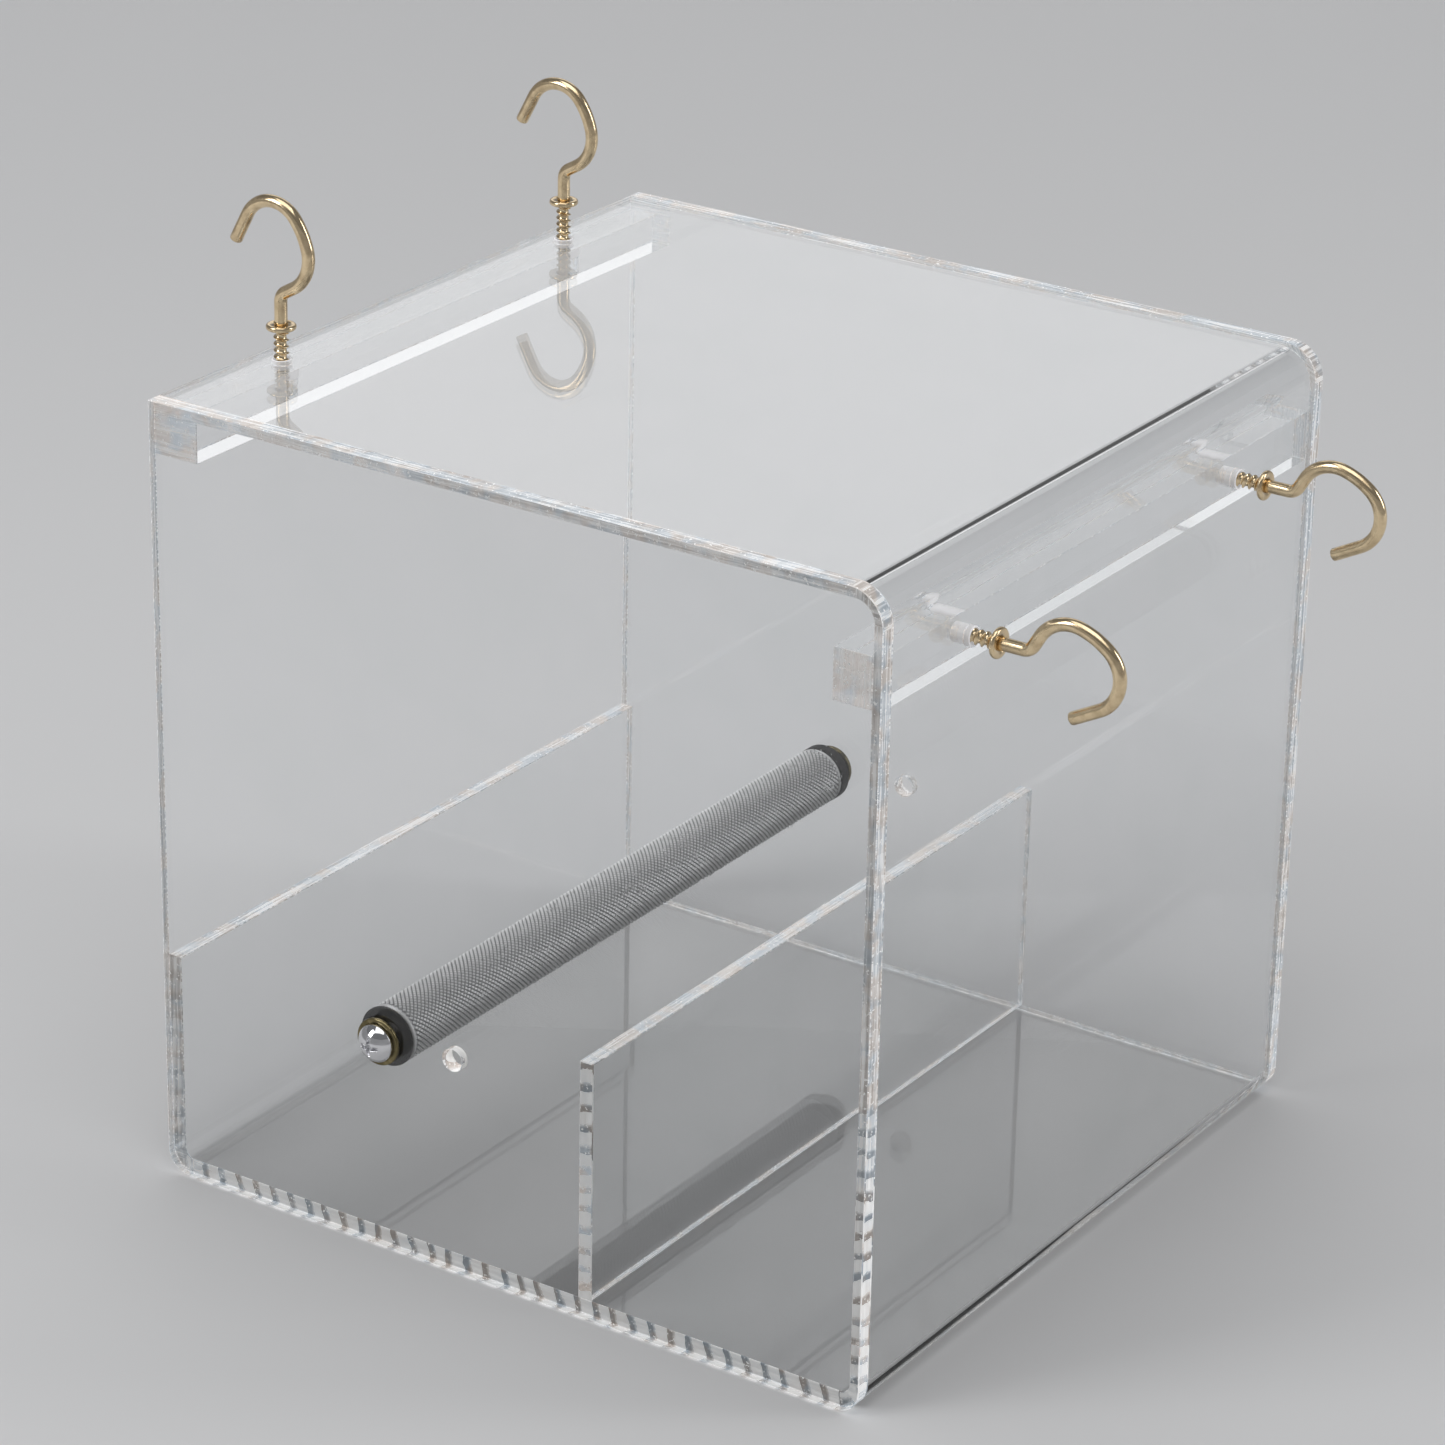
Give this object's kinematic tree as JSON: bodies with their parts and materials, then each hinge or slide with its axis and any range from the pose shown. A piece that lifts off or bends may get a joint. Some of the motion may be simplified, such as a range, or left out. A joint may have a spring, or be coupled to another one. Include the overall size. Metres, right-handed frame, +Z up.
{
  "type": "hang-on acrylic bird cage box",
  "caption": "Clear acrylic hang-on cage box with a bent shell, a divider, a knurled metal perch and brass cup hooks for hanging on cage wires; one side is open above a low lip.",
  "frame": {"origin": "middle of the flat underside", "axes": "+Z up; +X from the open entrance side towards the hook wall; +Y along the perch from the near panel to the far panel"},
  "size_m": [0.1969, 0.1662, 0.1931],
  "materials": {
    "acrylic": "clear acrylic sheet, polished faces and milled edges",
    "knurled_rod": "diamond knurled",
    "chrome_screw": "polished",
    "brass": "polished wire",
    "rubber_pad": "matt",
    "white_bush": "satin white"
  },
  "bodies": {
    "box": {"bent_shell": "acrylic", "near_side_panel": "acrylic", "far_side_panel": "acrylic", "divider": "acrylic", "top_hook_bar": "acrylic", "wall_hook_bar": "acrylic", "hook_bush_top_near": "white_bush", "hook_bush_top_far": "white_bush", "hook_bush_wall_near": "white_bush", "hook_bush_wall_far": "white_bush"},
    "perch": {"perch_rod": "knurled_rod", "perch_pad_near": "rubber_pad", "perch_screw_near": "chrome_screw", "screw_washer_near": "brass", "perch_pad_far": "rubber_pad", "perch_screw_far": "chrome_screw", "screw_washer_far": "brass"},
    "hook_top_near": {"cup_hook_top_near": "brass", "hook_collar_top_near": "brass"},
    "hook_top_far": {"cup_hook_top_far": "brass", "hook_collar_top_far": "brass"},
    "hook_wall_near": {"cup_hook_wall_near": "brass", "hook_collar_wall_near": "brass"},
    "hook_wall_far": {"cup_hook_wall_far": "brass", "hook_collar_wall_far": "brass"}
  },
  "joints": [
    {"name": "perch_turn", "type": "hinge", "parent": "box", "child": "perch", "pos_m": [-0.0275, 0, 0.044], "axis": [0, 1, 0], "continuous": true},
    {"name": "hook_top_near_turn", "type": "hinge", "parent": "box", "child": "hook_top_near", "pos_m": [-0.0745, -0.0465, 0.16], "axis": [0, 0, 1], "range_deg": [-90, 90]},
    {"name": "hook_top_far_turn", "type": "hinge", "parent": "box", "child": "hook_top_far", "pos_m": [-0.0745, 0.0445, 0.16], "axis": [0, 0, 1], "range_deg": [-90, 90]},
    {"name": "hook_wall_near_turn", "type": "hinge", "parent": "box", "child": "hook_wall_near", "pos_m": [0.08, -0.0488, 0.1423], "axis": [1, 0, 0], "range_deg": [-90, 90]},
    {"name": "hook_wall_far_turn", "type": "hinge", "parent": "box", "child": "hook_wall_far", "pos_m": [0.08, 0.047, 0.1423], "axis": [1, 0, 0], "range_deg": [-90, 90]}
  ]
}
